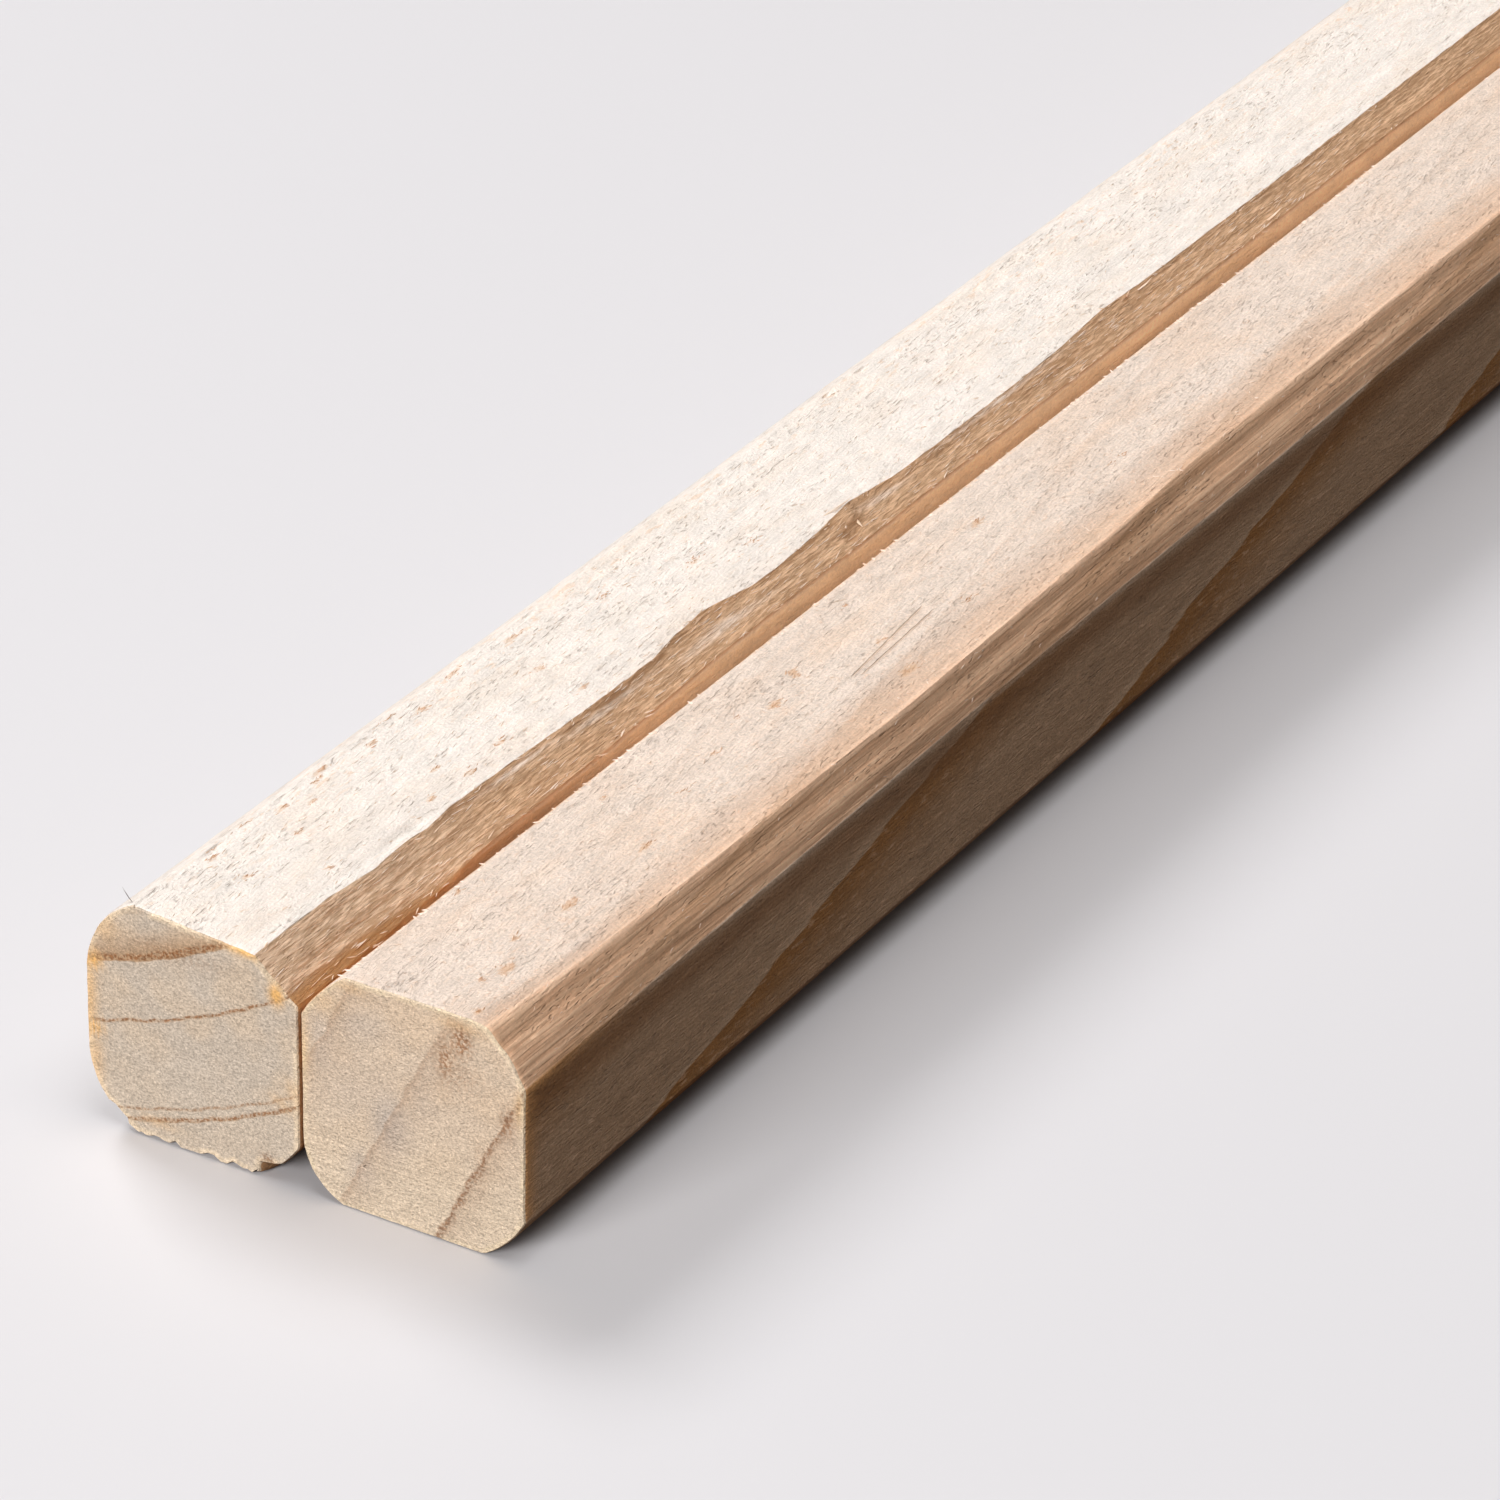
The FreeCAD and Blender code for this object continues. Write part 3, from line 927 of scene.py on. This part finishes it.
def growFibres(fibre, stick, beds, seed):
    chance = random.Random(seed)
    grown = []
    for bed in beds:
        for _ in range(bed["count"]):
            reach = fibreReach["near"] if chance.random() < fibreReach["nearShare"] else fibreReach["far"]
            distance = chance.uniform(0.1, reach)
            t = chance.uniform(*bed["t"])
            root, facing = layPoint(stick, outlineAt(stick, distance), bed["on"], t, distance)
            across = Vector((0, 1, 0)).cross(facing)
            if across.x * stick["side"] > 0:
                across = -across    # towards the groove
            swing = math.radians(chance.uniform(*bed["swing"]))
            lift = math.radians(chance.uniform(*bed["lift"]))
            length, thick = chance.uniform(*bed["length"]) * mm, chance.uniform(*bed["thick"]) * mm
            heading = chance.choice((-1, 1)) if distance * mm > length else 1
            flat = Vector((0, heading, 0)) * math.cos(swing) + across * math.sin(swing)
            direction = flat * math.cos(lift) + facing * math.sin(lift)
            root = root - facing * thick * 0.5
            grown.append(copyFibre(fibre, root, direction, facing, length, thick * 1.5, thick,
                                   chance.uniform(-0.05, 0.06)))
    return grown


def growFlecks(fibre, stick, seed):
    # each fleck is a tuft of short darker fibres
    chance = random.Random(seed)
    grown = []
    for x, distance, halfWidth, halfLength in stick["flecks"]:
        for _ in range(round(fleckTuft["least"] + fleckTuft["perArea"] * halfWidth * halfLength)):
            placeX = x + chance.gauss(0, fleckTuft["spread"]) * halfWidth
            placeY = max(distance + chance.gauss(0, fleckTuft["spread"]) * halfLength, 0.1)
            outline = outlineAt(stick, placeY)
            left, right = (
                stick["flank"] / mm + stick["side"] * outline[0][corner][0]
                for corner in (topFace, outerTopCut)
            )
            t = min(max((placeX - left) / (right - left), 0.01), 0.99)
            root, facing = layPoint(stick, outline, topFace, t, placeY)
            swing, lift = chance.uniform(*fleckTuft["swing"]), chance.uniform(*fleckTuft["lift"])
            direction = Vector((math.sin(swing), math.cos(swing), 0)) + facing * lift
            length = chance.uniform(*fleckTuft["length"]) * mm
            thick = chance.uniform(*fleckTuft["thick"]) * mm
            grown.append(copyFibre(fibre, root - facing * thick * 0.5, direction.normalized(), facing,
                                   length, thick * 1.6, thick, chance.uniform(*fleckTuft["bend"])))
    return grown


def joinFibres(name, grown, material):
    selectNothing()
    for piece in grown:
        piece.select_set(True)
    bpy.context.view_layer.objects.active = grown[0]
    bpy.ops.object.join()
    joined = bpy.context.object
    joined.name = joined.data.name = name
    joined.data.materials.clear()
    joined.data.materials.append(material)
    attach(joined, "root")
    print(name, len(grown), "fibres,", len(joined.data.polygons), "faces")


def fibreMaterial(name, light, dark):
    material = bpy.data.materials.new(name)
    bench = Bench(material)
    place = bench.node("TexCoord", output="Object")
    colour = bench.blend(bench.between(bench.grain(place, 0.4, 0.9), 0.35, 0.65), light, dark)
    shader = bench.node("BsdfPrincipled", {}, {
        "Base Color": colour, "Roughness": 0.45 + 0.2 * bench.grain(place, 0.1, 0.3),
        "Specular IOR Level": 0.35,
    })
    bench.node("OutputMaterial", {}, {"Surface": shader})
    return material


# Single splinters and hairs: root and tip in row millimetres (x, distance, z), width, thickness, bend
paleSplinters = [
    ((-1.20, 24.45, 5.36), (-0.55, 23.50, 5.42), 0.16, 0.05, -0.10),     # torn flap that hangs over the cut
    ((-1.10, 24.30, 5.34), (-0.38, 23.95, 5.30), 0.12, 0.04, -0.12),
    ((-1.24, 23.40, 5.40), (-1.02, 24.55, 5.52), 0.05, 0.03, 0.06),
    ((-1.00, 38.20, 5.30), (-0.72, 37.70, 5.62), 0.03, 0.02, 0.20),
    ((-0.96, 38.60, 5.30), (-0.60, 38.90, 5.58), 0.025, 0.02, 0.25),
    ((-0.35, 44.40, 5.05), (-0.02, 44.90, 5.35), 0.04, 0.025, 0.20),
]
darkHairs = [
    ((-4.34, 0.18, 5.60), (-4.82, 0.47, 5.61), 0.012, 0.010, 0.12),
    ((1.50, -0.004, 1.15), (1.58, -0.004, 1.23), 0.022, 0.006, 0.0),
    ((5.33, 12.02, 4.72), (5.42, 12.50, 4.16), 0.014, 0.010, 0.10),
]
chips = [
    ((4.70, 25.14, 5.42), (4.92, 25.04, 5.50), 0.060, 0.040, 0.0),
    ((5.20, 24.60, 4.70), (5.30, 24.50, 4.60), 0.030, 0.020, 0.0),
]


def laySplinters(fibre, listed):
    laid = []
    for root, tip, width, thick, bend in listed:
        start, end = (Vector((x, distance - stickRun["middle"], z)) * mm for x, distance, z in (root, tip))
        reach = end - start
        laid.append(copyFibre(fibre, start, reach.normalized(), Vector((0.35, 0, 0.94)), reach.length,
                              width * mm, thick * mm, bend))
    return laid


baseFibre = modelFibre()
paleFibre = fibreMaterial("paleFibre", (0.960, 0.830, 0.720, 1), (0.860, 0.640, 0.460, 1))
warmFibre = fibreMaterial("warmFibre", (0.930, 0.780, 0.670, 1), (0.820, 0.620, 0.480, 1))
darkHair = fibreMaterial("darkHair", (0.090, 0.060, 0.050, 1), (0.160, 0.110, 0.080, 1))
leftGrown = growFibres(baseFibre, leftStick, fibreBeds["left"], 11) + laySplinters(baseFibre, paleSplinters)
rightGrown = growFibres(baseFibre, rightStick, fibreBeds["right"], 12) + laySplinters(baseFibre, chips)
joinFibres("left_fibres", leftGrown, paleFibre)
joinFibres("right_fibres", rightGrown, warmFibre)
fleckFibre = fibreMaterial("fleckFibre", (0.850, 0.580, 0.400, 1), (0.640, 0.370, 0.210, 1))
joinFibres("left_flecks", growFlecks(baseFibre, leftStick, 13), fleckFibre)
joinFibres("right_flecks", growFlecks(baseFibre, rightStick, 14), fleckFibre)
joinFibres("dark_hairs", laySplinters(baseFibre, darkHairs), darkHair)
bpy.data.objects.remove(baseFibre)

# Floor, lights and camera
studio = {
    "floorSize": 3.0,
    "floorColour": (0.760, 0.750, 0.775, 1),    # as the camera sees it
    "floorBounce": (0.150, 0.115, 0.090, 1),    # as it lights the sticks
    "worldColour": (1.000, 0.930, 0.880, 1),
    "backdropColour": (0.890, 0.885, 0.920, 1),
    "worldStrength": 0.06,
    "backdropStrength": 0.80,
    "aim": (0.0, -0.080, 0.0),
    # each lamp: where it stands from the aim, how far, its size, its power, its colour
    "lamps": {
        "keyLight": ((-0.62, 0.30, 0.72), 0.70, 0.26, 2.65, (1.0, 0.990, 0.985)),
        "frontLight": ((-0.05, -0.92, 0.38), 0.80, 0.40, 5.8, (1.0, 0.990, 0.980)),
        "topLight": ((0.24, -0.10, 0.965), 0.80, 0.50, 2.3, (1.0, 0.985, 0.970)),
    },
}


def layFloor():
    selectNothing()
    bpy.ops.mesh.primitive_plane_add(size=studio["floorSize"], location=(0, 0, 0))
    floor = bpy.context.object
    floor.name = "floor"
    material = bpy.data.materials.new("paleFloor")
    bench = Bench(material)
    cameraRay = bench.node("LightPath", output="Is Camera Ray")
    seen, bounced = (
        bench.node("BsdfPrincipled", {}, {
            "Base Color": studio[key], "Roughness": 0.6, "Specular IOR Level": 0.2,
        })
        for key in ("floorColour", "floorBounce")
    )
    mixed = bench.node("MixShader", {}, {0: cameraRay, 1: bounced, 2: seen})
    bench.node("OutputMaterial", {}, {"Surface": mixed})
    floor.data.materials.append(material)


def lightWorld():
    world = bpy.data.worlds.new("studioWorld")
    bpy.context.scene.world = world
    bench = Bench(world)
    cameraRay = bench.node("LightPath", output="Is Camera Ray")
    glow, backdrop = (
        bench.node("Background", {}, {
            "Color": studio[key + "Colour"], "Strength": studio[key + "Strength"],
        })
        for key in ("world", "backdrop")
    )
    mixed = bench.node("MixShader", {}, {0: cameraRay, 1: glow, 2: backdrop})
    bench.node("OutputWorld", {}, {"Surface": mixed})


def hangLamp(name, towards, away, size, power, colour):
    aim = Vector(studio["aim"])
    place = aim + Vector(towards).normalized() * away
    bpy.ops.object.light_add(type="AREA", location=place)
    lamp = bpy.context.object
    lamp.name = name
    lamp.data.shape = "SQUARE"
    lamp.data.size = size
    lamp.data.energy = power
    lamp.data.color = colour
    lamp.rotation_euler = (aim - place).to_track_quat("-Z", "Y").to_euler()


# Solved from the photo's long edges and end faces; the place is in millimetres, angles in degrees
photoView = {
    "lens": 161.58,
    "sensor": 36.0,
    "place": (67.588, -203.113, 77.092),
    "yaw": 30.149,
    "pitch": 29.151,
    "roll": 1.174,
    "clip": (0.01, 20.0),
}


def setCamera():
    data = bpy.data.cameras.new("photoCamera")
    data.lens = photoView["lens"]
    data.sensor_width = photoView["sensor"]
    data.clip_start, data.clip_end = photoView["clip"]
    camera = bpy.data.objects.new("photoCamera", data)
    bpy.context.scene.collection.objects.link(camera)
    turn = Matrix.Rotation(math.radians(photoView["yaw"]), 4, "Z")
    turn = turn @ Matrix.Rotation(math.radians(90 - photoView["pitch"]), 4, "X")
    turn = turn @ Matrix.Rotation(math.radians(photoView["roll"]), 4, "Z")
    camera.matrix_world = Matrix.Translation(Vector(photoView["place"]) * mm) @ turn
    bpy.context.scene.camera = camera


layFloor()
lightWorld()
for lampName, lamp in studio["lamps"].items():
    hangLamp(lampName, *lamp)
setCamera()
bpy.context.scene.view_settings.view_transform = "Standard"
print("studio set")
